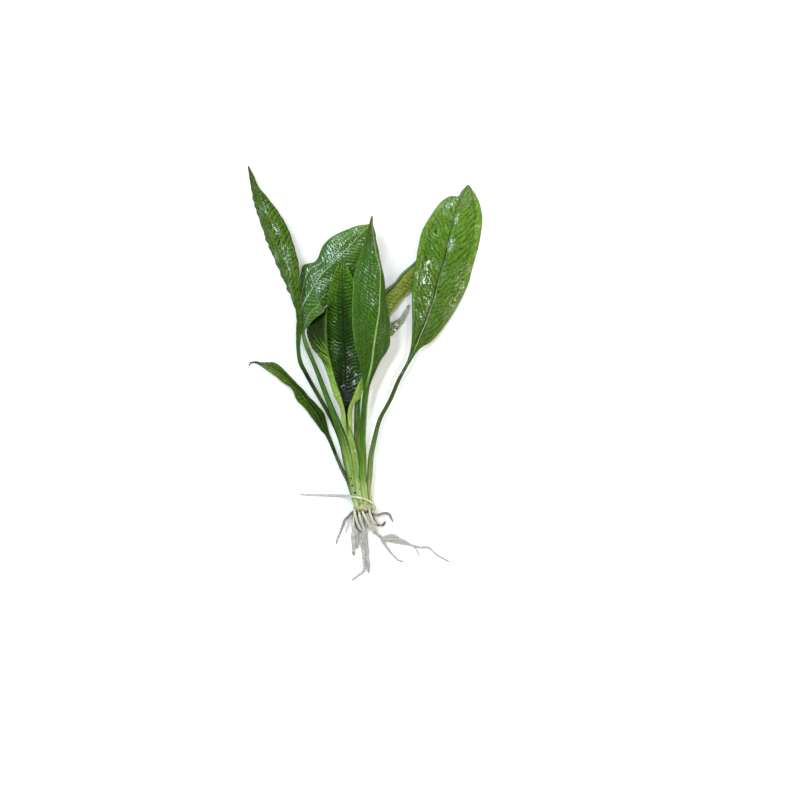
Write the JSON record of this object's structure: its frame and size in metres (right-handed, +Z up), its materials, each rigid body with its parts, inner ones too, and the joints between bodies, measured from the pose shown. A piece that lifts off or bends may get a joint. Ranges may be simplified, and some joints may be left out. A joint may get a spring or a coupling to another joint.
{
  "type": "amazon sword plant",
  "caption": "Bare-root amazon sword plant lying on its side on a flat surface, with broad veined leaves on long petioles fanned from a short crown, and loose pale roots.",
  "frame": {"origin": "on the surface that the plant lies on, under the middle of its bounding box", "axes": "+Y runs from the roots to the leaf tips, +Z is up from the surface, and +X is to the right seen from above"},
  "size_m": [0.1293, 0.2282, 0.0265],
  "materials": {
    "green_leaf": "gloss",
    "dark_leaf": "gloss",
    "olive_leaf": "satin",
    "crown": "satin",
    "root": "satin",
    "dark_root": "satin"
  },
  "bodies": {
    "root": {"crown": "crown", "leaf_far_left": "green_leaf", "leaf_low_left": "dark_leaf", "leaf_broad_back": "green_leaf", "leaf_centre": "dark_leaf", "leaf_front": "green_leaf", "leaf_right": "green_leaf", "leaf_right_behind": "olive_leaf", "leaf_small_withered": "olive_leaf", "root_left_thin": "root", "root_left_thick": "root", "root_left_dark": "dark_root", "root_middle_hooked": "root", "root_middle_blunt": "root", "root_right_stem": "root", "root_right_lower_branch": "root", "root_right_upper_branch": "root", "root_right_short": "root", "root_right_loop": "root", "root_right_dark": "dark_root", "root_over_crown": "root"}
  },
  "joints": []
}
